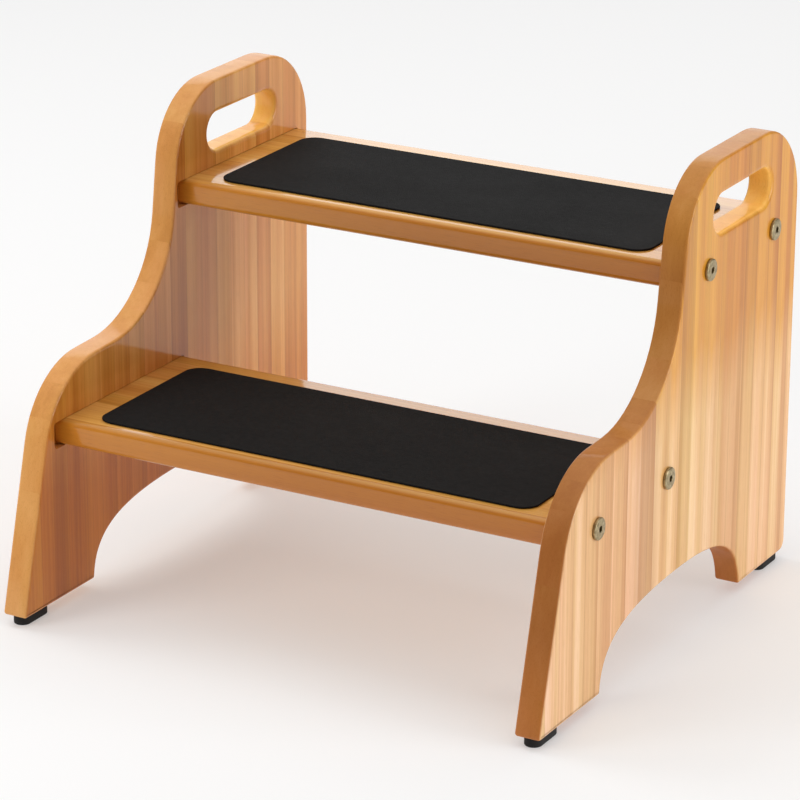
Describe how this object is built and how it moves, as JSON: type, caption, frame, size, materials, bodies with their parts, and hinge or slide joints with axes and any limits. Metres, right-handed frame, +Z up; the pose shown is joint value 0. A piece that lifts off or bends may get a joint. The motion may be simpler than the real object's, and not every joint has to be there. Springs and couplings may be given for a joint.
{
  "type": "mounting block",
  "caption": "Low wooden two-step block: shaped side panels with hand slots and arched feet, two housed treads with black grip mats, furniture bolts and rubber feet.",
  "frame": {"origin": "on the floor, below the middle of the block's width and depth", "axes": "+X to the right along the treads, +Y to the back, away from the person stepping up, +Z up"},
  "size_m": [0.405, 0.366, 0.318],
  "materials": {
    "panel_wood": "satin clear lacquer, grain running upright",
    "tread_wood": "satin clear lacquer, grain running along the tread",
    "grip_mat": "matt, fine grit",
    "bolt_bronze": "dull antique bronze plating",
    "zinc_steel": "bright zinc plating",
    "foot_rubber": "moulded, matt"
  },
  "bodies": {
    "root": {"side_panel_left": "panel_wood", "side_panel_right": "panel_wood", "lower_tread": "tread_wood", "upper_tread": "tread_wood", "lower_grip_mat": "grip_mat", "upper_grip_mat": "grip_mat", "bolt_lower_front_left": "bolt_bronze", "bolt_lower_rear_left": "bolt_bronze", "bolt_upper_front_left": "bolt_bronze", "bolt_upper_rear_left": "bolt_bronze", "bolt_lower_front_right": "bolt_bronze", "bolt_lower_rear_right": "bolt_bronze", "bolt_upper_front_right": "bolt_bronze", "bolt_upper_rear_right": "bolt_bronze", "barrel_nut_lower_front_left": "zinc_steel", "barrel_nut_lower_rear_left": "zinc_steel", "barrel_nut_upper_front_left": "zinc_steel", "barrel_nut_upper_rear_left": "zinc_steel", "barrel_nut_lower_front_right": "zinc_steel", "barrel_nut_lower_rear_right": "zinc_steel", "barrel_nut_upper_front_right": "zinc_steel", "barrel_nut_upper_rear_right": "zinc_steel", "foot_front_left": "foot_rubber", "foot_rear_left": "foot_rubber", "foot_front_right": "foot_rubber", "foot_rear_right": "foot_rubber", "foot_screw_front_left": "zinc_steel", "foot_screw_rear_left": "zinc_steel", "foot_screw_front_right": "zinc_steel", "foot_screw_rear_right": "zinc_steel"}
  },
  "joints": []
}
